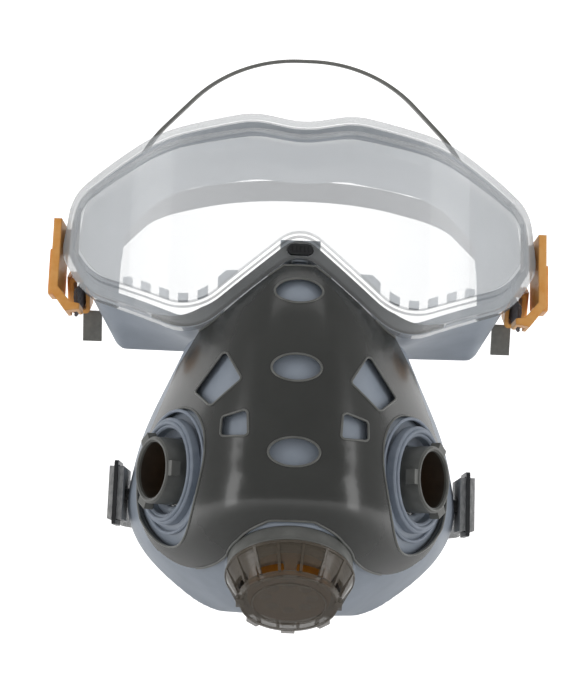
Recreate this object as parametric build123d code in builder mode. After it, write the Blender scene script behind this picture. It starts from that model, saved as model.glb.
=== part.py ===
from build123d import *
import os
from math import atan2, cos, degrees, hypot, radians, sin

# Half-mask respirator joined to a goggle visor, in millimetres.
# X runs across the face, the front of the mask faces -Y, the wearer's head is
# towards +Y, and Z is up. The origin is on the mid-plane, at the plane where the
# mask meets the face, level with the nose notch of the visor pane.

# ---- Visor: a clear pane wrapped on an upright cylinder, with a stepped rim -----
visor_front_y = -52.0
visor_radius = 110.0
visor_centre_y = visor_front_y + visor_radius
pane_thickness = 2.2
rim_setback = 4.0
lip_depth = 7.0
lip_thickness = 1.8
# Outlines list the right half's corners in the front view, from bottom centre to top
# centre, as (x, z, corner radius).
rim_outline = [
    (0.0, -4.6, 9.0), (36.4, -34.4, 17.0), (80.0, -15.4, 30.0), (91.2, 3.0, 12.0),
    (87.6, 24.6, 12.0), (52.0, 41.0, 60.0), (18.0, 45.6, 30.0), (0.0, 41.6, 30.0),
]
pane_outline = [
    (0.0, 2.6, 9.0), (36.4, -27.6, 19.0), (76.0, -11.2, 26.0), (85.2, 2.0, 9.0),
    (82.6, 20.6, 10.0), (49.0, 35.4, 60.0), (17.0, 38.8, 30.0), (0.0, 35.8, 30.0),
]
latch_z = -4.2
latch_width = 8.6
latch_height = 3.6
latch_front_y = visor_front_y + rim_setback - 0.9
latch_length = 5.6
frame_inset = 2.3
frame_band = 2.6
frame_depth = 3.4

# ---- Seal between the visor and the face -------------------------------------
seal_inset = 2.6
seal_thickness = 2.0
seal_front_y = -60.0
seal_back_y = 32.0
seal_waist_y = -5.0
seal_face_outline = [
    (0.0, 0.0, 8.0), (30.0, -28.6, 10.0), (72.0, -28.6, 5.0), (73.5, -10.0, 12.0),
    (72.5, 20.0, 14.0), (56.0, 39.0, 40.0), (18.0, 46.0, 30.0), (0.0, 44.6, 30.0),
]
head_radius = 84.0
head_centre_y = 76.0

# ---- Half mask: level sections of the rigid front's outer surface --------------
# Height, ridge y, then shoulder, flank, cheek and back as (x, y).
mask_levels = [
    (4.0, -39.0, (5.5, -37.8), (11.0, -28.5), (16.0, -17.0), (20.5, 3.0)),
    (-8.0, -47.0, (7.0, -45.5), (15.0, -37.0), (21.0, -26.0), (27.0, 4.0)),
    (-22.0, -58.0, (9.0, -56.5), (20.0, -48.0), (28.0, -38.0), (36.0, 5.0)),
    (-43.0, -68.0, (12.0, -66.2), (28.0, -52.0), (41.0, -31.0), (47.0, 5.0)),
    (-66.0, -77.5, (14.5, -75.0), (36.0, -54.0), (51.0, -29.0), (56.5, 5.0)),
    (-82.0, -83.5, (16.0, -80.8), (40.0, -53.5), (54.0, -30.0), (60.0, 5.0)),
    (-95.0, -86.5, (16.0, -83.6), (40.0, -55.0), (54.5, -30.0), (60.5, 5.0)),
    (-105.0, -80.5, (16.0, -78.0), (38.0, -54.0), (51.0, -29.0), (56.5, 4.0)),
    (-115.0, -67.5, (15.0, -65.0), (33.0, -46.0), (43.0, -24.0), (48.0, 2.0)),
    (-123.0, -55.0, (12.0, -53.0), (25.0, -38.0), (33.0, -20.0), (38.0, -2.0)),
    (-129.0, -43.0, (8.0, -41.5), (15.0, -33.0), (20.0, -22.0), (24.0, -7.0)),
]
shield_thickness = 2.2
shield_gap = 0.4
cup_thickness = 2.6
cup_inset = shield_thickness + shield_gap
# The right half of the shield's lower edge in the front view, from the side down.
shield_edge = [
    (51.5, -70.0), (53.8, -82.0), (53.2, -94.0), (48.5, -105.0), (39.5, -112.5), (29.5, -114.5),
    (21.0, -111.0), (15.0, -104.0), (8.5, -100.4), (0.0, -99.6),
]
shield_top_corners = [(34.0, -10.0), (31.0, -26.0), (42.0, -44.0)]
cup_top_z = -10.6
shield_recess_scale = 1.005
upper_window = [(24.2, -41.5), (17.8, -53.0), (28.0, -61.8), (34.3, -55.6)]
lower_window = [(15.4, -63.6), (14.8, -72.8), (24.0, -72.6), (23.8, -65.9)]
window_corner = 1.4
oval_heights = [-20.5, -49.0, -77.8]
oval_half_width = 8.2
oval_half_height = 4.8

# ---- Filter ports, one each side ------------------------------------------------
port_centre = (42.0, -50.0, -82.7)
port_turn = 33.5
port_opening_radius = 23.5
port_opening_drop = 1.7
port_pad_radius = 21.4
gasket_outer_radius = 18.0
gasket_inner_radius = 14.4
gasket_height = 3.2
tube_bore_radius = 9.5
tube_outer_radius = 11.2
tube_mouth = 6.1
tube_inner_end = -8.5
tube_flange_radius = 15.0
seat_radius = 10.2
seat_thickness = 2.3
flap_radius = 9.4
flap_thickness = 0.6
lug_reach = 2.2
lug_width = 5.0
lug_length = 3.4
fit_gap = 0.05

# ---- Exhale valve -----------------------------------------------------------------
valve_centre = (0.0, -70.0, -116.5)
valve_pitch = 57.0
cap_base_radius = 20.2
cap_face_radius = 15.4
cap_height = 10.3
cap_wall = 1.5
cap_slots = 8
guard_radius = 13.2
guard_height = 8.0
collar_radius = 20.2

# ---- Side clips and head straps ------------------------------------------------------
clip_inner_x = 91.6
clip_thickness = 3.0
clip_y = (2.0, 22.0)
clip_top_z = 17.0
clip_bend_z = -9.5
pin_radius = 2.2
lug_y = 13.0
pin_y = 15.8
pin_z = 11.0
release_travel = 1.0
strap_start_y = 12.0
strap_start_z = -14.0
strap_back_y = 167.0
strap_back_z = 78.0
strap_width = 10.5
strap_thickness = 1.6
strap_corners = [(88.6, -30.0, 5.0), (80.0, 90.0, 60.0), (70.0, 142.0, 60.0), (30.0, 180.0, 66.0)]
strap_start = -1.0
crown_width = 13.0
crown_thickness = 1.4
crown_tilt = (0.0, 0.94, 0.34)
crown_start_y = 36.0
crown_lean = 12.5
crown_corners = [
    (86.8, -30.0, 5.0), (86.8, 12.0, 10.0), (75.0, 33.0, 14.0), (67.0, 64.0, 60.0),
    (30.0, 108.8, 58.0),
]
crown_start = -3.0
stud_y = 36.5
stud_z = 0.55
buckle_x = 85.5
buckle_run = 13.0
buckle_width = 7.8
buckle_height = 14.5
buckle_depth = 9.0
lever_thickness = 1.5
lever_run = 13.0
lever_length = 7.0
tail_x = 85.2
tail_width = 7.4
tail_corners = [(28.6, -14.0), (30.1, -13.2), (34.0, -24.6), (32.5, -25.2)]

# ---- Neck strap ------------------------------------------------------------------------
neck_pivot_y = -4.0
neck_z = -88.0
neck_width = 19.0
neck_thickness = 1.6
neck_corners = [(64.1, -40.0, 5.0), (64.4, 14.0, 25.0), (69.0, 50.0, 60.0), (46.0, 118.5, 50.0)]
neck_start = 4.2
hook_x = 63.4
hook_front_y = -16.5
loop_end = 10.0
neck_back_y = 118.5

os.makedirs("parts", exist_ok=True)


def save(block, name):
    """Labels a finished piece and writes it."""
    block.part.label = name
    export_step(block.part, "parts/" + name + ".step")


def outline_face(corners, growth=0.0):
    """A closed symmetric outline through rounded corners, grown by a distance."""
    right = corners[1:-1]
    left = [(-x, z, radius) for x, z, radius in reversed(right)]
    around = [corners[0]] + right + [corners[-1]] + left
    with BuildSketch() as outline:
        with BuildLine():
            FilletPolyline(
                *[(x, z) for x, z, radius in around],
                radius=[radius for x, z, radius in around], close=True,
            )
        make_face()
        if growth:
            offset(amount=growth, kind=Kind.ARC)
    return outline.sketch


def ring_face(corners, outer, inner):
    """The band between two grown copies of an outline."""
    with BuildSketch() as ring:
        add(outline_face(corners, outer))
        add(outline_face(corners, inner), mode=Mode.SUBTRACT)
    return ring.sketch


def slab(face, y_front, y_back):
    """A front-view face extruded between two depths."""
    with BuildPart() as block:
        with BuildSketch(Plane.XZ.offset(-y_back)):
            add(face)
        extrude(amount=y_back - y_front)
    return block.part


def upright_cylinder(radius, centre_y):
    """A cylinder about an upright axis on the mid-plane."""
    with BuildPart() as block:
        with Locations((0, centre_y, 0)):
            Cylinder(radius, 300.0)
    return block.part


def wrapped(face, radius, depth_y):
    """A front-view face cut from the wrap surface of a radius, depth_y deep along Y."""
    with BuildPart() as block:
        add(slab(face, -100.0, 40.0))
        add(upright_cylinder(radius, visor_centre_y), mode=Mode.INTERSECT)
        add(upright_cylinder(radius, visor_centre_y + depth_y), mode=Mode.SUBTRACT)
    return block.part


def behind_wrap(face, radius):
    """A front-view face extruded back from the wrap surface of a radius."""
    with BuildPart() as block:
        add(slab(face, -100.0, 40.0))
        add(upright_cylinder(radius, visor_centre_y), mode=Mode.INTERSECT)
    return block.part


def mask_form(front_inset, side_inset, reach=0.0, raise_bottom=0.0):
    """The mask's form through its level sections, with the front and sides set in."""
    bottom = mask_levels[-1][0]
    with BuildPart() as form:
        for z, ridge, shoulder, flank, cheek, back in mask_levels:
            height = z + raise_bottom * (z == bottom)
            side = [
                (shoulder[0] - 0.4 * front_inset, shoulder[1] + 0.95 * front_inset),
                (flank[0] - 0.75 * front_inset, flank[1] + 0.6 * front_inset),
                (cheek[0] - 0.9 * front_inset, cheek[1] + 0.4 * front_inset),
                (back[0] - side_inset, back[1] + reach),
            ]
            points = [(-x, y) for x, y in reversed(side)] + [(0, ridge + front_inset)] + side
            with BuildSketch(Plane.XY.offset(height)):
                with BuildLine():
                    Spline(points)
                    Line(points[-1], points[0])
                make_face()
        loft()
    return form.part


def shield_face(factor):
    """The shield's outline in the front view, scaled about the origin."""
    with BuildSketch() as outline:
        with BuildLine():
            Polyline(shield_top_corners + [shield_edge[0]])
            Spline(shield_edge, tangents=[(0.25, -1), (-1, 0)])
            mirror(about=Plane.YZ)
            Line((-shield_top_corners[0][0], shield_top_corners[0][1]), shield_top_corners[0])
        make_face()
        if factor != 1.0:
            scale(by=factor)
    return outline.sketch


def seal_form(growth):
    """The space inside the visor seal's outer wall, grown by a distance."""
    rim = outline_face(rim_outline, growth - seal_inset)
    face = outline_face(seal_face_outline, growth)
    with BuildPart() as form:
        for y, outline in ((seal_front_y, rim), (seal_waist_y, rim), (seal_back_y + 1.0, face)):
            with BuildSketch(Plane.XZ.offset(-y)):
                add(outline)
        loft(ruled=True)
    return form.part


def band_face(corners, thickness, start):
    """A thin band that follows rounded corners, open below a starting height."""
    around = corners + [(-x, y, radius) for x, y, radius in reversed(corners)]
    with BuildSketch() as band:
        with BuildLine():
            FilletPolyline(
                *[(x, y) for x, y, radius in around],
                radius=[radius for x, y, radius in around], close=True,
            )
        make_face()
        offset(amount=-thickness, kind=Kind.ARC, mode=Mode.SUBTRACT)
        with Locations((0, start - 100.0)):
            Rectangle(300.0, 200.0, mode=Mode.SUBTRACT)
    return band.sketch


def rounded_polygon(points, radius):
    """A closed polygon with its corners rounded."""
    with BuildSketch() as shape:
        with BuildLine():
            Polyline(points, close=True)
        make_face()
        fillet(shape.vertices(), radius)
    return shape.sketch


def port_plane(side):
    """The plane of a filter port, with its normal pointing out of the mouth."""
    x, y, z = port_centre
    turn = radians(port_turn)
    return Plane(origin=(side * x, y, z), x_dir=(0, 0, 1), z_dir=(side * cos(turn), -sin(turn), 0))


valve_dir = (0.0, -cos(radians(valve_pitch)), -sin(radians(valve_pitch)))
valve_plane = Plane(origin=valve_centre, x_dir=(1, 0, 0), z_dir=valve_dir)
strap_rise = degrees(atan2(strap_back_z - strap_start_z, strap_back_y - strap_start_y))
strap_normal = (0.0, -sin(radians(strap_rise)), cos(radians(strap_rise)))
strap_plane = Plane(origin=(0, strap_start_y, strap_start_z), x_dir=(1, 0, 0), z_dir=strap_normal)
sides = (("left", -1), ("right", 1))

with BuildSketch() as slot_face:
    with Locations((0, latch_z)):
        SlotOverall(latch_width + 0.7, latch_height + 0.7)
latch_slot = slot_face.sketch

# ==== Visor =============================================================================
with BuildPart() as visor_lens:
    add(behind_wrap(outline_face(pane_outline), visor_radius))
    add(behind_wrap(outline_face(rim_outline), visor_radius - rim_setback))
    add(behind_wrap(outline_face(pane_outline, -pane_thickness),
                    visor_radius - pane_thickness), mode=Mode.SUBTRACT)
    add(behind_wrap(outline_face(rim_outline, -lip_thickness),
                    visor_radius - rim_setback - pane_thickness), mode=Mode.SUBTRACT)
    add(upright_cylinder(visor_radius - rim_setback, visor_centre_y + lip_depth),
        mode=Mode.SUBTRACT)
    add(slab(latch_slot, -60.0, -30.0), mode=Mode.SUBTRACT)
save(visor_lens, "visor_lens")

# Behind the rim: a rigid ring that carries the pivot lugs for the side clips.
rim_back_radius = visor_radius - rim_setback - pane_thickness - 0.3
with BuildPart() as visor_frame:
    add(wrapped(ring_face(rim_outline, -frame_inset, -frame_inset - frame_band),
                rim_back_radius, frame_depth))
    for name, side in sides:
        with BuildSketch(Plane.YZ.offset(side * 86.4)):
            with Locations((lug_y - 1.0, pin_z)):
                RectangleRounded(15.0, 13.0, 3.0)
        extrude(amount=side * 1.7)
        with BuildSketch(Plane.YZ.offset(side * 88.0)):
            with Locations((pin_y, pin_z)):
                Circle(5.0)
        extrude(amount=side * 3.0)
        with Locations(Plane.YZ.offset(side * 88.5)):
            with Locations((pin_y, pin_z)):
                Cylinder(pin_radius + fit_gap, 9.0, mode=Mode.SUBTRACT)
    with Locations((0, visor_front_y + 10.0, -4.0)):
        Box(15.0, 20.0, 8.0, mode=Mode.SUBTRACT)
    add(visor_lens.part, mode=Mode.SUBTRACT)
save(visor_frame, "visor_frame")

with BuildPart() as visor_seal:
    add(seal_form(0.0))
    add(seal_form(-seal_thickness), mode=Mode.SUBTRACT)
    add(upright_cylinder(rim_back_radius, visor_centre_y + frame_depth + 0.2), mode=Mode.INTERSECT)
    add(upright_cylinder(head_radius, head_centre_y), mode=Mode.SUBTRACT)
    for name, side in sides:
        with Locations((side * 87.4, lug_y, pin_z)):
            Box(2.6, 22.0, 14.0, mode=Mode.SUBTRACT)
    with Locations((0, visor_front_y + 10.0, -4.0)):
        Box(15.0, 10.0, 8.0, mode=Mode.SUBTRACT)
save(visor_seal, "visor_seal")

vent_bottom_columns = range(30, 74, 7)
vent_top_columns = (26, 44, 62)
with BuildPart() as vent_combs:
    comb_face = ring_face(pane_outline, -pane_thickness - 0.2, -pane_thickness - 2.8)
    comb_radius = visor_radius - pane_thickness - 0.3
    add(wrapped(comb_face, comb_radius, 3.2))
    with Locations((0, 0, 9.0)):
        Box(240.0, 300.0, 42.0, mode=Mode.SUBTRACT)
    Box(40.0, 300.0, 120.0, mode=Mode.SUBTRACT)
    for name, side in sides:
        for x in vent_bottom_columns:
            with Locations((side * x, 0, -20.0)):
                Box(3.5, 300.0, 30.0, mode=Mode.SUBTRACT)
        for x in vent_top_columns:
            with Locations((side * x, 0, 40.0)):
                Box(2.0, 300.0, 30.0, mode=Mode.SUBTRACT)
        with Locations((side * 100.0, 0, 0)):
            Box(40.0, 300.0, 120.0, mode=Mode.SUBTRACT)
save(vent_combs, "vent_combs")

with BuildPart() as nose_latch:
    with BuildSketch(Plane.XZ.offset(-latch_front_y - latch_length)):
        with Locations((0, latch_z)):
            SlotOverall(latch_width, latch_height)
    extrude(amount=latch_length)
    for step in range(-2, 3):
        with Locations((step * 1.4, latch_front_y, latch_z)):
            Box(0.6, 0.8, 2.2, mode=Mode.SUBTRACT)
save(nose_latch, "nose_latch")

with BuildPart() as latch_housing:
    with Locations((0, visor_front_y + rim_setback + pane_thickness + 4.4, latch_z + 0.2)):
        Box(14.0, 8.0, 7.4)
    add(slab(latch_slot, -60.0, latch_front_y + latch_length + 1.4), mode=Mode.SUBTRACT)
    add(visor_lens.part, mode=Mode.SUBTRACT)
save(latch_housing, "latch_housing")

# ==== Half mask =========================================================================
lens_column = slab(outline_face(rim_outline, 0.6), -110.0, 45.0)

with BuildPart() as front_shield:
    add(slab(shield_face(1.0), -110.0, 0.0))
    add(mask_form(0.0, 0.0), mode=Mode.INTERSECT)
    add(mask_form(shield_thickness, shield_thickness, 8.0), mode=Mode.SUBTRACT)
    add(lens_column, mode=Mode.SUBTRACT)
    with BuildSketch(Plane.XZ):
        for name, side in sides:
            for window in (upper_window, lower_window):
                add(rounded_polygon([(side * x, z) for x, z in window], window_corner))
        with Locations(*[(0, z) for z in oval_heights]):
            Ellipse(oval_half_width, oval_half_height)
    extrude(amount=110.0, mode=Mode.SUBTRACT)
    for name, side in sides:
        with BuildSketch(port_plane(side).offset(-16.0)):
            with Locations((-port_opening_drop, 0)):
                Circle(port_opening_radius)
        extrude(amount=40.0, mode=Mode.SUBTRACT)
    with BuildSketch(valve_plane.offset(-12.0)):
        Circle(collar_radius + 0.3)
    extrude(amount=40.0, mode=Mode.SUBTRACT)
save(front_shield, "front_shield")

# The room the shield takes up, a little larger than the shield itself.
with BuildPart() as shield_room:
    add(slab(shield_face(shield_recess_scale), -110.0, 0.0))
    add(mask_form(0.0, 0.0), mode=Mode.INTERSECT)
    add(mask_form(cup_inset - 0.25, cup_inset - 0.25, 8.0), mode=Mode.SUBTRACT)

with BuildPart() as cup_room:
    add(mask_form(cup_inset + cup_thickness, cup_thickness + 0.3, 8.0, cup_thickness))
    with Locations((0, 0, cup_top_z + 50.0)):
        Box(200.0, 300.0, 100.0, mode=Mode.SUBTRACT)

with BuildPart() as facepiece:
    add(mask_form(cup_inset, 0.3))
    for name, side in sides:
        with BuildSketch(port_plane(side).offset(-7.5)):
            Circle(port_pad_radius)
        extrude(amount=5.5)
    with BuildSketch(valve_plane.offset(-9.0)):
        Circle(collar_radius + 1.0)
    extrude(amount=3.6)
    add(shield_room.part, mode=Mode.SUBTRACT)
    add(cup_room.part, mode=Mode.SUBTRACT)
    add(lens_column, mode=Mode.SUBTRACT)
    for name, side in sides:
        with BuildSketch(port_plane(side).offset(-2.0)):
            Circle(gasket_outer_radius + 0.3)
        extrude(amount=30.0, mode=Mode.SUBTRACT)
    with BuildSketch(valve_plane.offset(-5.35)):
        Circle(collar_radius + 0.3)
    extrude(amount=30.0, mode=Mode.SUBTRACT)
    with BuildSketch(valve_plane.offset(-9.0)):
        Circle(19.8)
    extrude(amount=-8.0, mode=Mode.SUBTRACT)
    for name, side in sides:
        with BuildSketch(port_plane(side).offset(-30.0)):
            Circle(tube_outer_radius + fit_gap)
        extrude(amount=60.0, mode=Mode.SUBTRACT)
    with BuildSketch(valve_plane.offset(-20.0)):
        Circle(16.4 + fit_gap)
    extrude(amount=40.0, mode=Mode.SUBTRACT)
    with Locations((0, neck_pivot_y, neck_z)):
        Cylinder(pin_radius + fit_gap, 200.0, rotation=(0, 90, 0), mode=Mode.SUBTRACT)

# The cuts leave loose crumbs at the edges, so only the cup itself is kept.
with BuildPart() as soft_cup:
    add(facepiece.part.solids().sort_by(SortBy.VOLUME)[-1])
save(soft_cup, "facepiece")

for name, side in sides:
    plane = port_plane(side)
    with BuildPart() as gasket:
        with BuildSketch(plane.offset(-2.0)):
            Circle(gasket_outer_radius)
            Circle(gasket_inner_radius, mode=Mode.SUBTRACT)
        extrude(amount=gasket_height)
        chamfer(gasket.faces().sort_by(Axis(plane.origin, plane.z_dir))[-1].edges(), 0.5)
    save(gasket, "filter_gasket_" + name)

    with BuildPart() as tube:
        with BuildSketch(plane.offset(tube_inner_end)):
            Circle(tube_outer_radius)
        extrude(amount=tube_mouth - tube_inner_end)
        with BuildSketch(plane.offset(tube_inner_end)):
            Circle(tube_flange_radius)
        extrude(amount=-1.2)
        with BuildSketch(plane.offset(tube_mouth - lug_length)):
            with PolarLocations(tube_outer_radius - 0.4, 3, start_angle=side * 90.0):
                with Locations((lug_reach / 2 + 0.2, 0)):
                    Rectangle(lug_reach + 0.4, lug_width)
        extrude(amount=lug_length)
        with BuildSketch(plane.offset(tube_inner_end - 5.0)):
            Circle(tube_bore_radius)
        extrude(amount=40.0, mode=Mode.SUBTRACT)
        with BuildSketch(plane.offset(tube_inner_end - 5.0)):
            Circle(seat_radius)
        extrude(amount=5.0 + seat_thickness, mode=Mode.SUBTRACT)
    save(tube, "inlet_tube_" + name)

    with BuildPart() as seat:
        with BuildSketch(plane.offset(tube_inner_end)):
            Circle(seat_radius - fit_gap)
            Circle(tube_bore_radius - 1.0, mode=Mode.SUBTRACT)
            Circle(2.2)
            with PolarLocations(5.0, 4, start_angle=45.0):
                Rectangle(8.4, 1.3)
        extrude(amount=1.6)
    save(seat, "inhale_seat_" + name)

    with BuildPart() as flap:
        with BuildSketch(plane.offset(tube_inner_end - flap_thickness - 0.1)):
            Circle(flap_radius)
        extrude(amount=flap_thickness)
    save(flap, "inhale_flap_" + name)

# ==== Exhale valve ======================================================================
with BuildPart() as valve_housing:
    with BuildSketch(valve_plane.offset(-5.3)):
        Circle(collar_radius)
        Circle(guard_radius, mode=Mode.SUBTRACT)
    extrude(amount=5.1)
    with BuildSketch(valve_plane.offset(-0.2)):
        Circle(17.2)
        Circle(15.6, mode=Mode.SUBTRACT)
    extrude(amount=1.8)
    with BuildSketch(valve_plane.offset(-10.5)):
        Circle(16.4)
        Circle(guard_radius, mode=Mode.SUBTRACT)
    extrude(amount=5.2)
    with BuildSketch(valve_plane.offset(-10.5)):
        Circle(19.5)
        Circle(guard_radius, mode=Mode.SUBTRACT)
    extrude(amount=1.3)
save(valve_housing, "valve_housing")

with BuildPart() as exhale_seat:
    with BuildSketch(valve_plane.offset(-6.0)):
        Circle(guard_radius - fit_gap)
        Circle(10.5, mode=Mode.SUBTRACT)
        Circle(2.6)
        with PolarLocations(6.4, 6):
            Rectangle(9.6, 1.4)
    extrude(amount=2.4)
save(exhale_seat, "exhale_seat")

with BuildPart() as exhale_flap:
    with BuildSketch(valve_plane.offset(-3.5)):
        Circle(11.4)
    extrude(amount=0.7)
save(exhale_flap, "exhale_flap")

with BuildPart() as valve_guard:
    with BuildSketch(valve_plane.offset(-3.5)):
        Circle(guard_radius - fit_gap)
        Circle(guard_radius - 1.3, mode=Mode.SUBTRACT)
    extrude(amount=guard_height + 3.5)
    with BuildSketch(valve_plane.offset(guard_height - 1.0)):
        Circle(guard_radius - fit_gap)
        with PolarLocations(7.2, cap_slots):
            Circle(2.0, mode=Mode.SUBTRACT)
    extrude(amount=1.0)
save(valve_guard, "valve_guard")

with BuildPart() as exhale_valve_cap:
    with BuildSketch(Plane(origin=valve_centre, x_dir=(1, 0, 0), z_dir=valve_plane.y_dir)):
        with BuildLine():
            Polyline(
                (0, 0), (cap_base_radius, 0), (cap_base_radius, -1.2),
                (cap_face_radius + 0.6, -cap_height + 1.4), (cap_face_radius, -cap_height),
                (0, -cap_height), close=True,
            )
        make_face()
    revolve(axis=Axis(valve_centre, valve_dir))
    with BuildSketch(Plane(origin=valve_centre, x_dir=(1, 0, 0), z_dir=valve_plane.y_dir)):
        with BuildLine():
            Polyline(
                (0, 1.0), (cap_base_radius - cap_wall, 1.0), (cap_base_radius - cap_wall, -1.2),
                (cap_face_radius - 0.9, -cap_height + cap_wall), (0, -cap_height + cap_wall),
                close=True,
            )
        make_face()
    revolve(axis=Axis(valve_centre, valve_dir), mode=Mode.SUBTRACT)
    with BuildSketch(valve_plane.offset(cap_height - 4.4)):
        with PolarLocations(17.0, cap_slots, start_angle=180.0 / cap_slots):
            Rectangle(8.0, 9.0)
    extrude(amount=2.6, mode=Mode.SUBTRACT)
    with BuildSketch(valve_plane.offset(cap_height - 1.6)):
        with PolarLocations(cap_face_radius, cap_slots):
            Rectangle(2.6, 4.4)
    extrude(amount=1.9)
save(exhale_valve_cap, "exhale_valve_cap")

# ==== Side clips and head straps ========================================================
clip_outer_x = clip_inner_x + clip_thickness
release_size = (13.0, 18.0)
release_centre = (11.5, -3.0)
release_thickness = 1.8
pocket_depth = 1.6
for name, side in sides:
    with BuildPart() as pin:
        with BuildSketch(Plane.YZ.offset(side * 86.6)):
            with Locations((pin_y, pin_z)):
                Circle(pin_radius)
        extrude(amount=side * (clip_outer_x - 0.4 - 86.6))
    save(pin, "pivot_pin_" + name)

    with BuildPart() as clip:
        with BuildSketch(Plane.XZ.offset(-clip_y[1])):
            with BuildLine():
                Polyline(
                    (side * clip_inner_x, clip_top_z), (side * clip_outer_x, clip_top_z),
                    (side * clip_outer_x, clip_bend_z - 1.5), (side * 88.4, -19.0),
                    (side * 83.0, -18.2), (side * 83.0, -16.0), (side * 86.6, -15.4),
                    (side * clip_inner_x, clip_bend_z), close=True,
                )
            make_face()
        extrude(amount=clip_y[1] - clip_y[0])
        with BuildSketch(Plane.YZ.offset(side * 80.0)):
            with Locations((pin_y, pin_z)):
                Circle(pin_radius + fit_gap)
        extrude(amount=side * 20.0, mode=Mode.SUBTRACT)
        with BuildSketch(Plane.YZ.offset(side * (clip_outer_x - pocket_depth))):
            with Locations(release_centre):
                RectangleRounded(release_size[0] + 0.6, release_size[1] + 0.6, 2.3)
        extrude(amount=side * 5.0, mode=Mode.SUBTRACT)
        with Locations((side * 88.0, clip_y[1] - 3.0, -17.0)):
            Box(16.0, 12.0, 16.0, mode=Mode.SUBTRACT)
        with Locations((side * 85.7, 11.0, -14.0)):
            Box(2.8, 9.0, 16.0, mode=Mode.SUBTRACT)
    save(clip, "side_clip_" + name)

    with BuildPart() as release:
        with BuildSketch(Plane.YZ.offset(side * (clip_outer_x - pocket_depth + release_travel))):
            with Locations(release_centre):
                RectangleRounded(*release_size, 2.0)
        extrude(amount=side * release_thickness)
        for step in range(4):
            with Locations((side * (clip_outer_x + 1.2), release_centre[0], -9.0 + step * 2.6)):
                Box(0.7, 9.0, 1.0, mode=Mode.SUBTRACT)
    save(release, "clip_release_" + name)

    along = (0.0, cos(radians(strap_rise)), sin(radians(strap_rise)))
    middle = (side * buckle_x, strap_start_y + buckle_run * along[1],
              strap_start_z + buckle_run * along[2])
    with BuildPart() as buckle:
        with BuildSketch(Plane(origin=middle, x_dir=(1, 0, 0), z_dir=along)):
            RectangleRounded(buckle_width, buckle_height, 1.8)
            RectangleRounded(buckle_width - 3.2, buckle_height - 3.2, 0.8, mode=Mode.SUBTRACT)
        extrude(amount=buckle_depth / 2, both=True)
    save(buckle, "strap_buckle_" + name)

    hinge_y = strap_start_y + lever_run * along[1]
    hinge_z = strap_start_z + lever_run * along[2]
    lever_x = buckle_x + buckle_width / 2 + 0.1
    with BuildPart() as lever:
        with BuildSketch(Plane(origin=(side * lever_x, hinge_y, hinge_z), x_dir=along,
                               z_dir=(side, 0, 0))):
            with Locations((lever_length / 2, 0)):
                Rectangle(lever_length, buckle_height - 2.0)
        extrude(amount=lever_thickness)
        barrel_origin = (side * (lever_x + lever_thickness / 2), hinge_y, hinge_z)
        with BuildSketch(Plane(origin=barrel_origin, x_dir=(1, 0, 0), z_dir=strap_normal)):
            Circle(lever_thickness / 2)
        extrude(amount=buckle_height / 2 - 1.0, both=True)
    save(lever, "buckle_lever_" + name)

    with BuildPart() as stud:
        for start, radius, length in ((81.6, 3.8, 0.8), (82.4, 2.0, 4.6), (87.0, 3.8, 0.9)):
            with BuildSketch(Plane.YZ.offset(side * start)):
                with Locations((stud_y, stud_z)):
                    Circle(radius)
            extrude(amount=side * length)
    save(stud, "crown_stud_" + name)

    with BuildPart() as tail:
        with BuildSketch(Plane.YZ.offset(side * tail_x)):
            with BuildLine():
                Polyline(tail_corners, close=True)
            make_face()
        extrude(amount=side * -tail_width)
    save(tail, "strap_tail_" + name)

stud_bar = Plane.YZ.offset(-100.0)
with BuildPart() as head_strap:
    with BuildSketch(strap_plane.offset(-strap_width / 2)):
        add(band_face(strap_corners, strap_thickness, strap_start))
    extrude(amount=strap_width)
    with BuildSketch(stud_bar):
        with Locations((stud_y, stud_z)):
            Circle(2.0 + fit_gap)
    extrude(amount=200.0, mode=Mode.SUBTRACT)
save(head_strap, "head_strap")

crown_plane = Plane(
    origin=(0, crown_start_y, 0), x_dir=(1, 0, 0),
    z_dir=(0.0, -cos(radians(crown_lean)), sin(radians(crown_lean))),
)
with BuildPart() as crown_strap:
    with BuildSketch(crown_plane):
        add(band_face(crown_corners, crown_thickness, crown_start))
    extrude(amount=crown_width / 2, dir=crown_tilt, both=True)
    with BuildSketch(stud_bar):
        with Locations((stud_y, stud_z)):
            Circle(2.0 + fit_gap)
    extrude(amount=200.0, mode=Mode.SUBTRACT)
save(crown_strap, "crown_strap")

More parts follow.
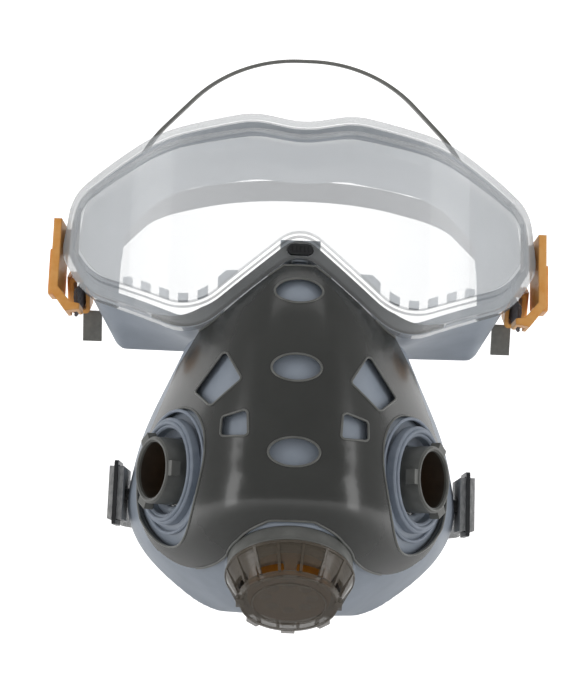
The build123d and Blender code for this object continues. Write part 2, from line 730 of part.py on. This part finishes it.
# ==== Neck strap ========================================================================
for name, side in sides:
    with BuildPart() as stud:
        for start, radius, length in ((51.2, 3.4, 1.6), (52.8, pin_radius, 11.5), (64.3, 2.9, 1.1)):
            with BuildSketch(Plane.YZ.offset(side * start)):
                with Locations((neck_pivot_y, neck_z)):
                    Circle(radius)
            extrude(amount=side * length)
    save(stud, "neck_stud_" + name)

    with BuildPart() as hook:
        with BuildSketch(Plane.YZ.offset(side * (hook_x - 0.7))):
            with Locations((hook_front_y + 8.5, neck_z)):
                RectangleRounded(17.0, neck_width + 4.0, 1.5)
            with Locations((hook_front_y + 3.5, neck_z)):
                Rectangle(3.8, neck_width + 0.8, mode=Mode.SUBTRACT)
            with Locations((neck_pivot_y, neck_z)):
                Circle(pin_radius + fit_gap, mode=Mode.SUBTRACT)
        extrude(amount=side * 1.4)
    save(hook, "neck_hook_" + name)

    loop_front = hook_front_y + 2.0
    loop_middle = (loop_front + loop_end) / 2
    with BuildPart() as loop:
        with BuildSketch(Plane.XY.offset(neck_z - neck_width / 2)):
            with Locations((side * hook_x, loop_middle)):
                Rectangle(5.2, loop_end - loop_front)
            with Locations((side * hook_x, loop_middle + neck_thickness)):
                Rectangle(2.0, loop_end - loop_front, mode=Mode.SUBTRACT)
        extrude(amount=neck_width)
        with BuildSketch(Plane.YZ.offset(side * 55.0)):
            with Locations((neck_pivot_y, neck_z)):
                Circle(3.3)
        extrude(amount=side * 15.0, mode=Mode.SUBTRACT)
    save(loop, "neck_loop_" + name)

with BuildPart() as neck_strap:
    with BuildSketch(Plane.XY.offset(neck_z - neck_width / 2)):
        add(band_face(neck_corners, neck_thickness, neck_start))
    extrude(amount=neck_width)
save(neck_strap, "neck_strap")

with BuildPart() as neck_clasp:
    with Locations((0, neck_back_y - neck_thickness / 2, neck_z)):
        Box(30.0, 7.0, neck_width + 5.0)
    fillet(neck_clasp.edges().filter_by(Axis.Y), 2.0)
    with Locations((0, neck_back_y - neck_thickness / 2, neck_z)):
        Box(31.0, neck_thickness + 2.4, neck_width + 0.6, mode=Mode.SUBTRACT)
save(neck_clasp, "neck_clasp")
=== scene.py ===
from math import atan2, cos, pi, radians, sin, tan

import bmesh
import bpy
from mathutils import Matrix, Vector


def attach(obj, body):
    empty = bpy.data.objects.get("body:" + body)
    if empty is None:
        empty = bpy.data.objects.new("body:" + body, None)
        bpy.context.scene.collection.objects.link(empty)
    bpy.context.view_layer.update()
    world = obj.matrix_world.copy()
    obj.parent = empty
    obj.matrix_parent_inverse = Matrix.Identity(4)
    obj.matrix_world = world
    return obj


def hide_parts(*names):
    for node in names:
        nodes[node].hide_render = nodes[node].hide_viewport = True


# Half-mask respirator with a goggle visor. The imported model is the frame; this script
# gives its hard pieces their finishes and makes the soft pieces again as soft goods.

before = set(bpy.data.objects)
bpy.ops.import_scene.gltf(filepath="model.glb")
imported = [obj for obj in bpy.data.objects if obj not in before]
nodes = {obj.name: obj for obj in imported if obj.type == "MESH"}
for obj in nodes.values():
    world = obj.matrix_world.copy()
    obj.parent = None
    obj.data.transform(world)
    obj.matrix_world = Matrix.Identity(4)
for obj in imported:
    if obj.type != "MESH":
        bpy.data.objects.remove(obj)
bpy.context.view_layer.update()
MM = 0.001
SIDES = (("left", -1), ("right", 1))

# Straps, as in the part: their planes, and the outline corners (x, y, corner radius) of
# the right half in each plane, in millimetres.
strap_plane_start = (12.0, -14.0)
strap_plane_back = (167.0, 78.0)
head_strap = dict(
    corners=[(88.6, -30.0, 5.0), (80.0, 90.0, 60.0), (70.0, 142.0, 60.0), (30.0, 180.0, 66.0)],
    start=-1.0, width=10.5, thickness=1.6,
)
crown_start_y = 36.0
crown_lean = radians(12.5)
crown_strap = dict(
    corners=[
        (86.8, -30.0, 5.0), (86.8, 12.0, 10.0), (75.0, 33.0, 14.0), (67.0, 64.0, 60.0),
        (30.0, 108.8, 58.0),
    ],
    start=-3.0, width=13.0, thickness=1.4,
)
neck_z = -88.0
neck_strap = dict(
    corners=[(64.1, -40.0, 5.0), (64.4, 14.0, 25.0), (69.0, 50.0, 60.0), (46.0, 118.5, 50.0)],
    start=4.2, width=19.0, thickness=1.6,
)


# ---- Materials -------------------------------------------------------------------------
def linear(code):
    """A linear colour from a hex code."""
    parts = [int(code[i:i + 2], 16) / 255 for i in (1, 3, 5)]
    return tuple(c / 12.92 if c <= 0.04045 else ((c + 0.055) / 1.055) ** 2.4 for c in parts) + (1.0,)


def surface(name, light, dark, roughness, grain=300.0, bump=0.0, edge=0.0, stretch=(1, 1, 1)):
    """A procedural finish: noise between two colours, with a fine bump and softened edges."""
    made = bpy.data.materials.new(name)
    made.use_nodes = True
    tree = made.node_tree
    shader = tree.nodes["Principled BSDF"]
    shader.inputs["Roughness"].default_value = roughness
    coords = tree.nodes.new("ShaderNodeTexCoord")
    mapping = tree.nodes.new("ShaderNodeMapping")
    mapping.inputs["Scale"].default_value = stretch
    noise = tree.nodes.new("ShaderNodeTexNoise")
    noise.inputs["Scale"].default_value = grain
    noise.inputs["Detail"].default_value = 4.0
    colours = tree.nodes.new("ShaderNodeValToRGB")
    colours.color_ramp.elements[0].position = 0.3
    colours.color_ramp.elements[0].color = linear(dark)
    colours.color_ramp.elements[1].position = 0.7
    colours.color_ramp.elements[1].color = linear(light)
    link = tree.links.new
    link(coords.outputs["Object"], mapping.inputs["Vector"])
    link(mapping.outputs["Vector"], noise.inputs["Vector"])
    link(noise.outputs["Fac"], colours.inputs["Fac"])
    link(colours.outputs["Color"], shader.inputs["Base Color"])
    normal = None
    if edge:
        rounded = tree.nodes.new("ShaderNodeBevel")
        rounded.samples = 6
        rounded.inputs["Radius"].default_value = edge * MM
        normal = rounded.outputs["Normal"]
        link(normal, shader.inputs["Normal"])
    if bump:
        bumps = tree.nodes.new("ShaderNodeBump")
        bumps.inputs["Strength"].default_value = bump
        bumps.inputs["Distance"].default_value = 0.2 * MM
        link(noise.outputs["Fac"], bumps.inputs["Height"])
        if normal:
            link(normal, bumps.inputs["Normal"])
        link(bumps.outputs["Normal"], shader.inputs["Normal"])
    return made


def set_shader(made, **values):
    """Sets sockets of a material's shader, named with underscores for spaces."""
    shader = made.node_tree.nodes["Principled BSDF"]
    for key, value in values.items():
        shader.inputs[key.replace("_", " ")].default_value = value
    return made


def see_through(name, facing, grazing, facing_alpha, grazing_alpha, roughness):
    """A see-through plastic that turns to its grazing colour and covers more where it is seen edge on: for
    smoked plastic that is its own deeper tint, for the clear lens it is painted shade.
    """
    made = surface(name, facing, facing, roughness, 60.0)
    tree = made.node_tree
    shader = tree.nodes["Principled BSDF"]
    layer = tree.nodes.new("ShaderNodeLayerWeight")
    layer.inputs["Blend"].default_value = 0.35
    tint = tree.nodes.new("ShaderNodeValToRGB")
    tint.color_ramp.elements[0].position = 0.15
    tint.color_ramp.elements[0].color = linear(facing)
    tint.color_ramp.elements[1].position = 0.9
    tint.color_ramp.elements[1].color = linear(grazing)
    cover = tree.nodes.new("ShaderNodeMapRange")
    cover.inputs["To Min"].default_value = facing_alpha
    cover.inputs["To Max"].default_value = grazing_alpha
    link = tree.links.new
    link(layer.outputs["Facing"], tint.inputs["Fac"])
    link(layer.outputs["Facing"], cover.inputs["Value"])
    link(tint.outputs["Color"], shader.inputs["Base Color"])
    link(cover.outputs["Result"], shader.inputs["Alpha"])
    return made


shell = set_shader(surface("shell_dark_gloss", "#3a3b39", "#323331", 0.24, 40.0, 0.01, 0.6), Coat_Weight=0.3, Coat_Roughness=0.12)
# Painted highlight: the shield's edge beads are a lighter grey than the shell, standing in for the light caught
# on its rounded edges.
shell_highlight = surface("shell_painted_highlight", "#6c6d6a", "#5c5d5a", 0.3, 200.0)
silicone = surface("silicone_blue_grey", "#99a2ae", "#8d96a2", 0.48, 90.0, 0.04, 0.8)
port_rubber = surface("port_rubber", "#8a93a0", "#7d8693", 0.5, 200.0, 0.05, 0.5)
rim_grey = surface("rim_grey", "#aab1b9", "#9ba3ac", 0.4, 200.0, 0.03, 0.4)
tube_grey = surface("tube_grey", "#6a6b68", "#5b5c59", 0.35, 200.0, 0.03, 0.4)
black_plastic = surface("black_plastic", "#26272a", "#1a1b1d", 0.35, 300.0, 0.05, 0.3)
amber = set_shader(surface("amber_orange", "#c07a1c", "#a8640f", 0.4, 200.0, 0.03, 0.3), Transmission_Weight=0.1)
orange = surface("orange_plastic", "#f2b468", "#e9a04c", 0.42, 250.0, 0.05, 0.7)
flap_rubber = surface("flap_rubber", "#8a7656", "#7b6848", 0.5, 300.0, 0.04)
steel = set_shader(surface("pin_steel", "#b4b4b6", "#9c9c9e", 0.3, 500.0, 0.03, 0.2), Metallic=1.0)
smoke = see_through("smoked_clear", "#6b6256", "#37322b", 0.45, 0.96, 0.12)
# The lens goes dark grey where it is seen edge on: painted shade for the dark lines along its clear rim.
clear_lens = see_through("clear_polycarbonate", "#e3e6e8", "#5f666b", 0.12, 0.85, 0.06)
# Painted glow: a white see-through finish that glows, standing in for the bright flare through the pane.
painted_glow = set_shader(see_through("pane_painted_glow", "#f1f3f4", "#e4e7e9", 0.34, 0.55, 0.3),
                  Emission_Color=(1, 1, 1, 1), Emission_Strength=0.5)
# Painted shade: a dark brown for sleeves inside the inlet bores, standing in for the shadow down the grey tubes.
bore_shade = surface("bore_shade_brown", "#3d352d", "#2e2822", 0.45, 200.0, 0.05)
elastic = surface("knit_elastic", "#c4c4c3", "#8f9091", 0.8, 900.0, 0.12, 0.0, (1, 1, 0.4))
strap_rubber = surface("strap_dark_grey", "#74746f", "#676763", 0.5, 500.0, 0.15)
head_fabric = surface("head_strap_fabric", "#85858a", "#6d6d72", 0.8, 900.0, 0.12, 0.0, (0.3, 0.3, 1))

finishes = {
    "visor_lens": clear_lens,
    "visor_frame": rim_grey,
    "vent_combs": rim_grey,
    "latch_housing": rim_grey,
    "nose_latch": black_plastic,
    "front_shield": shell,
    "valve_housing": tube_grey,
    "exhale_seat": tube_grey,
    "exhale_flap": flap_rubber,
    "valve_guard": amber,
    "exhale_valve_cap": smoke,
    "neck_clasp": black_plastic,
}
for name, side in SIDES:
    finishes["filter_gasket_" + name] = port_rubber
    finishes["inlet_tube_" + name] = tube_grey
    finishes["inhale_seat_" + name] = amber
    finishes["inhale_flap_" + name] = flap_rubber
    finishes["pivot_pin_" + name] = steel
    finishes["side_clip_" + name] = orange
    finishes["clip_release_" + name] = orange
    finishes["strap_buckle_" + name] = orange
    finishes["buckle_lever_" + name] = orange
    finishes["crown_stud_" + name] = black_plastic
    finishes["neck_stud_" + name] = black_plastic
    finishes["neck_hook_" + name] = black_plastic
for name, finish in finishes.items():
    piece = nodes[name]
    piece.data.materials.clear()
    piece.data.materials.append(finish)


# ---- Soft goods ------------------------------------------------------------------------
def link_mesh(name, points, faces, finish, smooth=True):
    """A new mesh object from points in metres."""
    mesh = bpy.data.meshes.new(name)
    mesh.from_pydata(points, [], faces)
    mesh.update()
    piece = bpy.data.objects.new(name, mesh)
    bpy.context.scene.collection.objects.link(piece)
    piece.data.materials.append(finish)
    if smooth:
        for face in mesh.polygons:
            face.use_smooth = True
    return piece


def apply_modifiers(piece):
    """Bakes a piece's modifiers into its mesh."""
    graph = bpy.context.evaluated_depsgraph_get()
    mesh = bpy.data.meshes.new_from_object(piece.evaluated_get(graph))
    piece.modifiers.clear()
    piece.data = mesh
    for face in mesh.polygons:
        face.use_smooth = True


def soften(node, name, finish, voxel, rounds):
    """A soft moulding made from a CAD node: remeshed, then relaxed so its edges round off."""
    piece = bpy.data.objects.new(name, nodes[node].data.copy())
    bpy.context.scene.collection.objects.link(piece)
    remesh = piece.modifiers.new("remesh", "REMESH")
    remesh.mode = "VOXEL"
    remesh.voxel_size = voxel * MM
    relax = piece.modifiers.new("relax", "CORRECTIVE_SMOOTH")
    relax.smooth_type = "SIMPLE"
    relax.factor = 0.5
    relax.iterations = rounds
    relax.use_only_smooth = True
    apply_modifiers(piece)
    piece.data.materials.clear()
    piece.data.materials.append(finish)
    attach(piece, "mask")
    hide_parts(node)
    return piece


def rounded_path(corners, start, inset, step=2.0):
    """Points along a band's middle, right end to left end, in its plane: straight runs
    joined by arcs, moved in from the outline by an inset."""
    around = corners + [(-x, y, radius) for x, y, radius in reversed(corners)]
    spots = [Vector((x, y)) for x, y, radius in around]
    path = []
    for before, at, after, (x, y, radius) in zip(spots, spots[1:], spots[2:], around[1:-1]):
        into = (at - before).normalized()
        out = (after - at).normalized()
        turn = into.angle_signed(out)
        reach = radius * tan(abs(turn) / 2)
        first = at - into * reach
        inward = Vector((-into.y, into.x))
        centre = first + inward * radius
        count = max(3, int(radius * abs(turn) / step))
        for i in range(count + 1):
            angle = abs(turn) * i / count
            arm = -inward * cos(angle) + into * sin(angle)
            path.append(centre + arm * (radius - inset))
    run_in = (spots[1] - spots[0]).normalized()
    offset = Vector((-run_in.y, run_in.x)) * inset
    first = spots[0] + offset
    first = first + run_in * ((start - first.y) / run_in.y)
    path = [first] + [p for p in path if p.y > start] + [Vector((-first.x, first.y))]
    dense = []
    for a, b in zip(path, path[1:]):
        count = max(1, int((b - a).length / step))
        dense += [a.lerp(b, i / count) for i in range(count)]
    return dense + [path[-1]]


def band(name, strap, place, width_dir, finish, body, ribs=0, rib_depth=0.0):
    """A strap swept along its path, with rounded edges and optional ribs along its length."""
    path = rounded_path(strap["corners"], strap["start"], strap["thickness"] / 2)
    line = [place(p.x, p.y) for p in path]
    half = strap["width"] / 2
    thick = strap["thickness"] / 2
    across = 40 if ribs else 12
    section = []
    for sign in (1, -1):
        for i in range(across + 1):
            t = (i / across) * 2 - 1
            u = t * half * sign
            shoulder = min(1.0, (half - abs(u)) / thick) if half > abs(u) else 0.0
            lift = thick * max(0.25, (1 - (1 - shoulder) ** 2) ** 0.5)
            if ribs:
                lift -= rib_depth * (0.5 - 0.5 * cos(2 * pi * ribs * (t + 1) / 2))
            section.append((u, lift * sign))
    points = []
    faces = []
    count = len(section)
    for i, p in enumerate(line):
        ahead = line[min(i + 1, len(line) - 1)] - line[max(i - 1, 0)]
        out = ahead.cross(width_dir).normalized()
        points += [(p + width_dir * u + out * v) * MM for u, v in section]
    for i in range(len(line) - 1):
        for k in range(count):
            a = i * count + k
            b = i * count + (k + 1) % count
            faces.append((a, b, b + count, a + count))
    faces.append(tuple(range(count)))
    faces.append(tuple(len(points) - 1 - k for k in range(count)))
    piece = link_mesh(name, points, faces, finish)
    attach(piece, body)
    return piece


facepiece = soften("facepiece", "facepiece_skin", silicone, 0.9, 5)
seal = soften("visor_seal", "visor_seal_skin", silicone, 0.9, 6)

rise = atan2(strap_plane_back[1] - strap_plane_start[1], strap_plane_back[0] - strap_plane_start[0])
head_band = band(
    "head_strap_web", head_strap,
    lambda x, run: Vector((x, strap_plane_start[0] + run * cos(rise), strap_plane_start[1] + run * sin(rise))),
    Vector((0, -sin(rise), cos(rise))), head_fabric, "head_harness", 4, 0.18,
)
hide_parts("head_strap")
crown_band = band(
    "crown_strap_band", crown_strap,
    lambda x, run: Vector((x, crown_start_y + run * sin(crown_lean), run * cos(crown_lean))),
    Vector((0, 0.94, 0.34)).normalized(), strap_rubber, "head_harness", 2, 0.12,
)
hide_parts("crown_strap")
neck_band = band(
    "neck_strap_web", neck_strap, lambda x, run: Vector((x, run, neck_z)),
    Vector((0, 0, 1)), elastic, "neck_harness", 7, 0.3,
)
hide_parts("neck_strap")

for name, side in SIDES:
    for part, finish in (("neck_loop_", elastic), ("strap_tail_", strap_rubber)):
        nodes[part + name].data.materials.clear()
        nodes[part + name].data.materials.append(finish)

for piece in nodes.values():
    piece.data.shade_smooth() if hasattr(piece.data, "shade_smooth") else None

# The pane's white haze is painted glow: a thin glowing sheet just inside the pane, cut to the pane's outline.
pane_corners = [
    (0.0, 2.6, 9.0), (36.4, -27.6, 19.0), (76.0, -11.2, 26.0), (85.2, 2.0, 9.0),
    (82.6, 20.6, 10.0), (49.0, 35.4, 60.0), (17.0, 38.8, 30.0), (0.0, 35.8, 30.0),
]
visor_radius = 110.0
visor_centre_y = 58.0


def closed_outline(corners, step=2.0):
    """Points round a symmetric outline with rounded corners."""
    right_side = corners[1:-1]
    around = [corners[0]] + right_side + [corners[-1]] + [(-x, z, r) for x, z, r in reversed(right_side)]
    spots = [Vector((x, z)) for x, z, r in around]
    outline = []
    for i, (x, z, radius) in enumerate(around):
        into = (spots[i] - spots[i - 1]).normalized()
        out = (spots[(i + 1) % len(spots)] - spots[i]).normalized()
        turn = (into.x * out.y - into.y * out.x)
        angle = abs(into.angle(out))
        side = 1 if turn > 0 else -1
        first = spots[i] - into * radius * tan(angle / 2)
        inward = Vector((-into.y, into.x)) * side
        centre = first + inward * radius
        count = max(3, int(radius * angle / step))
        for k in range(count + 1):
            a = angle * k / count
            outline.append(centre + (-inward * cos(a) + into * sin(a)) * radius)
    return outline


def span_at(outline, x):
    """The lowest and highest height of an outline at one x."""
    heights = []
    for a, b in zip(outline, outline[1:] + outline[:1]):
        if (a.x - x) * (b.x - x) <= 0 and a.x != b.x:
            heights.append(a.y + (b.y - a.y) * (x - a.x) / (b.x - a.x))
    return min(heights), max(heights)


def wrapped_sheet(name, corners, radius, margin, finish, columns=90, rows=24):
    """A thin sheet on the visor's cylinder, inside an outline."""
    outline = closed_outline(corners)
    reach = max(p.x for p in outline) - margin
    points = []
    for i in range(columns + 1):
        x = reach * sin(pi * (i / columns - 0.5))
        low, high = span_at(outline, x)
        low, high = low + margin, max(high - margin, low + margin + 0.1)
        y = visor_centre_y - (radius * radius - x * x) ** 0.5
        points += [Vector((x, y, low + (high - low) * k / rows)) * MM for k in range(rows + 1)]
    faces = []
    for i in range(columns):
        for k in range(rows):
            a = i * (rows + 1) + k
            faces.append((a, a + rows + 1, a + rows + 2, a + 1))
    return link_mesh(name, points, faces, finish)


# Behind the clear rim at the nose, the dark shell carries on up to the pane's edge.
rim_corners = [
    (0.0, -4.6, 9.0), (36.4, -34.4, 17.0), (80.0, -15.4, 30.0), (91.2, 3.0, 12.0),
    (87.6, 24.6, 12.0), (52.0, 41.0, 60.0), (18.0, 45.6, 30.0), (0.0, 41.6, 30.0),
]
saddle_reach = 52.0
saddle_radius = visor_radius - 6.3


def nose_saddle(columns=80, rows=6):
    """A dark band behind the rim, from its lower edge to the pane's edge."""
    rim = closed_outline(rim_corners)
    pane = closed_outline(pane_corners)
    points = []
    for i in range(columns + 1):
        x = saddle_reach * (2 * i / columns - 1)
        low = span_at(rim, x)[0] + 0.8
        high = span_at(pane, x)[0] - 0.4
        fade = max(0.0, abs(x) - 34.0) / (saddle_reach - 34.0)
        high = low + (high - low) * (1 - 0.75 * fade)
        y = visor_centre_y - (saddle_radius ** 2 - x * x) ** 0.5
        points += [Vector((x, y, low + (high - low) * k / rows)) * MM for k in range(rows + 1)]
    faces = []
    for i in range(columns):
        for k in range(rows):
            a = i * (rows + 1) + k
            faces.append((a, a + rows + 1, a + rows + 2, a + 1))
    return link_mesh("nose_saddle_dark", points, faces, shell)


saddle = nose_saddle()
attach(saddle, "mask")


def raised_lines(node, name, radius, finish, reach):
    """Thin beads along the outer edges of a thin-walled node, as moulded parts have."""
    work = bmesh.new()
    work.from_mesh(nodes[node].data)
    bmesh.ops.remove_doubles(work, verts=work.verts, dist=1e-6)
    links = {}
    for edge in work.edges:
        if len(edge.link_faces) != 2 or edge.calc_face_angle(0.0) < radians(40):
            continue
        middle = (edge.verts[0].co + edge.verts[1].co) / 2
        out = Vector((middle.x, middle.y - 0.02, 0.0)).normalized()
        if max(face.normal.dot(out) for face in edge.link_faces) < 0.45 or not reach(middle):
            continue
        a, b = edge.verts
        links.setdefault(a.index, []).append(b.index)
        links.setdefault(b.index, []).append(a.index)
    spots = {v.index: v.co.copy() for v in work.verts}
    work.free()
    curve = bpy.data.curves.new(name, "CURVE")
    curve.dimensions = "3D"
    curve.bevel_depth = radius * MM
    curve.bevel_resolution = 2
    used = set()
    for start in sorted(links):
        for onward in links[start]:
            if (start, onward) in used:
                continue
            chain = [start]
            here, ahead = start, onward
            while (here, ahead) not in used:
                used.add((here, ahead))
                used.add((ahead, here))
                chain.append(ahead)
                rest = [n for n in links[ahead] if (ahead, n) not in used]
                if not rest:
                    break
                here, ahead = ahead, rest[0]
            if len(chain) < 6:
                continue
            line = curve.splines.new("POLY")
            line.points.add(len(chain) - 1)
            for point, index in zip(line.points, chain):
                point.co = (*spots[index], 1.0)
    holder = bpy.data.objects.new(name + "_curve", curve)
    bpy.context.scene.collection.objects.link(holder)
    mesh = bpy.data.meshes.new_from_object(holder.evaluated_get(bpy.context.evaluated_depsgraph_get()))
    bpy.data.objects.remove(holder)
    piece = bpy.data.objects.new(name, mesh)
    bpy.context.scene.collection.objects.link(piece)
    mesh.materials.clear()
    mesh.materials.append(finish)
    for face in mesh.polygons:
        face.use_smooth = True
    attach(piece, "mask")
    return piece


# The beads along the shield's edges and cut-outs carry the lighter grey, a painted highlight.
raised_lines("front_shield", "shield_edge_highlight_beads", 0.42, shell_highlight, lambda spot: True)

# Ribs and rings on the exhale cap, and sleeves of painted shade inside the inlet bores.
valve_centre = Vector((0.0, -70.0, -116.5))
valve_pitch = radians(57.0)
valve_dir = Vector((0.0, -cos(valve_pitch), -sin(valve_pitch)))
valve_side = Vector((1, 0, 0))
valve_rise = valve_dir.cross(valve_side)


def valve_spot(radius, angle, height):
    """A point round the exhale valve's axis."""
    arm = valve_side * cos(angle) + valve_rise * sin(angle)
    return (valve_centre + arm * radius + valve_dir * height) * MM


def ring(name, spot, radius, height, thickness, finish, body, steps=72, around=10):
    """A round bead about an axis given by a spot function."""
    points = []
    faces = []
    for i in range(steps):
        for k in range(around):
            bend = 2 * pi * k / around
            points.append(spot(radius + thickness * cos(bend), 2 * pi * i / steps,
                               height + thickness * sin(bend)))
            a = i * around + k
            b = i * around + (k + 1) % around
            c = ((i + 1) % steps) * around
            faces.append((a, b, c + (k + 1) % around, c + k))
    piece = link_mesh(name, points, faces, finish)
    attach(piece, body)
    return piece


cap_ribs = 16
rib_points = []
rib_faces = []
for i in range(cap_ribs):
    middle = 2 * pi * (i + 0.5) / cap_ribs
    for radius, height in ((20.2, 0.6), (16.3, 8.7)):
        for spread in (-0.45, 0.45):
            for lift in (-0.5, 0.55):
                rib_points.append(valve_spot(radius + lift, middle + spread / radius, height))
    b = 8 * i
    rib_faces += [(b, b + 1, b + 3, b + 2), (b + 4, b + 6, b + 7, b + 5), (b, b + 4, b + 5, b + 1),
                  (b + 2, b + 3, b + 7, b + 6), (b + 1, b + 5, b + 7, b + 3), (b, b + 2, b + 6, b + 4)]
ribs = link_mesh("cap_ribs", rib_points, rib_faces, smoke, False)
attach(ribs, "valve_cap")
ring("cap_face_ring", valve_spot, 11.6, 10.3, 0.35, smoke, "valve_cap")
ring("cap_face_edge", valve_spot, 15.2, 10.2, 0.45, smoke, "valve_cap")
ring("cap_foot_ring", valve_spot, 20.3, 0.5, 0.55, smoke, "valve_cap")
ring("valve_collar_bead", valve_spot, 19.8, -0.6, 0.7, tube_grey, "mask")

port_centre = Vector((42.0, -50.0, -82.7))
port_turn = radians(33.5)


def port_spot(side):
    """A function from radius, angle and height to a point about a filter port."""
    centre = Vector((side * port_centre.x, port_centre.y, port_centre.z))
    out = Vector((side * cos(port_turn), -sin(port_turn), 0))
    first = Vector((0, 0, 1))
    second = out.cross(first)

    def spot(radius, angle, height):
        return (centre + (first * cos(angle) + second * sin(angle)) * radius + out * height) * MM
    return spot


def bore_shade_sleeve(name, spot, radius, bottom, top, steps=64):
    """A thin dark sleeve inside an inlet bore: painted shade on the tube's inner wall."""
    points = []
    faces = []
    for i in range(steps):
        angle = 2 * pi * i / steps
        points += [spot(radius, angle, bottom), spot(radius, angle, top)]
        a = 2 * i
        b = 2 * ((i + 1) % steps)
        faces.append((a, b, b + 1, a + 1))
    piece = link_mesh(name, points, faces, bore_shade)
    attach(piece, "mask")


for name, side in SIDES:
    spot = port_spot(side)
    bore_shade_sleeve("inlet_bore_shade_" + name, spot, 9.42, -6.1, 5.2)
    ring("inlet_lip_" + name, spot, 10.35, 6.05, 0.55, tube_grey, "mask")
    ring("port_groove_bead_" + name, spot, 20.6, -1.9, 0.6, port_rubber, "mask")
    ring("gasket_bead_" + name, spot, 16.2, 1.3, 0.7, port_rubber, "mask")

# The sheet of painted glow across the pane.
pane_painted_glow = wrapped_sheet("visor_pane_painted_glow", pane_corners, visor_radius - 2.4, 2.3, painted_glow)
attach(pane_painted_glow, "mask")

# ---- Stage -----------------------------------------------------------------------------
studio_white = bpy.data.materials.new("studio_white")
studio_white.use_nodes = True
white = studio_white.node_tree.nodes["Principled BSDF"]
white.inputs["Base Color"].default_value = (0.55, 0.55, 0.55, 1)
white.inputs["Roughness"].default_value = 0.9
white.inputs["Emission Color"].default_value = (1, 1, 1, 1)
nodes_of_stage = studio_white.node_tree.nodes
stage_coords = nodes_of_stage.new("ShaderNodeTexCoord")
stage_distance = nodes_of_stage.new("ShaderNodeVectorMath")
stage_distance.operation = "LENGTH"
stage_glow = nodes_of_stage.new("ShaderNodeMapRange")
stage_glow.inputs["From Min"].default_value = 0.5
stage_glow.inputs["From Max"].default_value = 1.25
stage_glow.inputs["To Min"].default_value = 0.12
stage_glow.inputs["To Max"].default_value = 0.97
studio_white.node_tree.links.new(stage_coords.outputs["Object"], stage_distance.inputs[0])
studio_white.node_tree.links.new(stage_distance.outputs["Value"], stage_glow.inputs["Value"])
studio_white.node_tree.links.new(stage_glow.outputs["Result"], white.inputs["Emission Strength"])
floor_z = -0.30
sweep = []
for i in range(13):
    angle = radians(90 * i / 12)
    sweep.append((1.2 + 0.8 * sin(angle), floor_z + 0.8 * (1 - cos(angle))))
profile = [(-3.0, floor_z)] + sweep + [(2.0, 3.0)]
floor_points = [(x, y, z) for y, z in profile for x in (-4.0, 4.0)]
floor_faces = [(2 * i, 2 * i + 1, 2 * i + 3, 2 * i + 2) for i in range(len(profile) - 1)]
floor = link_mesh("studio_floor", floor_points, floor_faces, studio_white)

scene = bpy.context.scene
scene.view_settings.view_transform = "Standard"
scene.world = bpy.data.worlds.new("studio")
scene.world.use_nodes = True
scene.world.node_tree.nodes["Background"].inputs["Color"].default_value = (1, 1, 1, 1)
scene.world.node_tree.nodes["Background"].inputs["Strength"].default_value = 0.3


def softbox(name, place, target, size, power):
    """A rectangular area light that faces a target."""
    lamp = bpy.data.lights.new(name, "AREA")
    lamp.shape = "RECTANGLE"
    lamp.size = size[0]
    lamp.size_y = size[1]
    lamp.energy = power
    holder = bpy.data.objects.new(name, lamp)
    holder.location = place
    holder.rotation_euler = (Vector(target) - Vector(place)).to_track_quat("-Z", "Y").to_euler()
    scene.collection.objects.link(holder)


softbox("softbox_left", (-0.9, -0.45, 0.1), (0, 0, -0.05), (0.32, 1.1), 3.0)
softbox("softbox_right", (0.9, -0.45, 0.1), (0, 0, -0.05), (0.32, 1.1), 3.0)
softbox("softbox_top", (0.0, -0.2, 1.1), (0, 0, 0), (1.0, 0.6), 1.6)

# ---- Camera: a little below the visor, tilted up and rolled slightly ----------------------
tilt = radians(10.0)
roll = radians(2.0)
ahead = Vector((0, cos(tilt), sin(tilt)))
level_up = Vector((0, -sin(tilt), cos(tilt)))
right = Vector((cos(roll), 0, 0)) + level_up * sin(roll)
up = level_up * cos(roll) - Vector((sin(roll), 0, 0))
camera = bpy.data.objects.new("camera", bpy.data.cameras.new("camera"))
camera.matrix_world = Matrix.Translation(Vector((-2.7, -535.2, -121.7)) * MM) @ Matrix(
    (right, up, -ahead)).transposed().to_4x4()
camera.data.sensor_fit = "VERTICAL"
camera.data.sensor_height = 36.0
camera.data.lens = 76.5
scene.collection.objects.link(camera)
scene.camera = camera
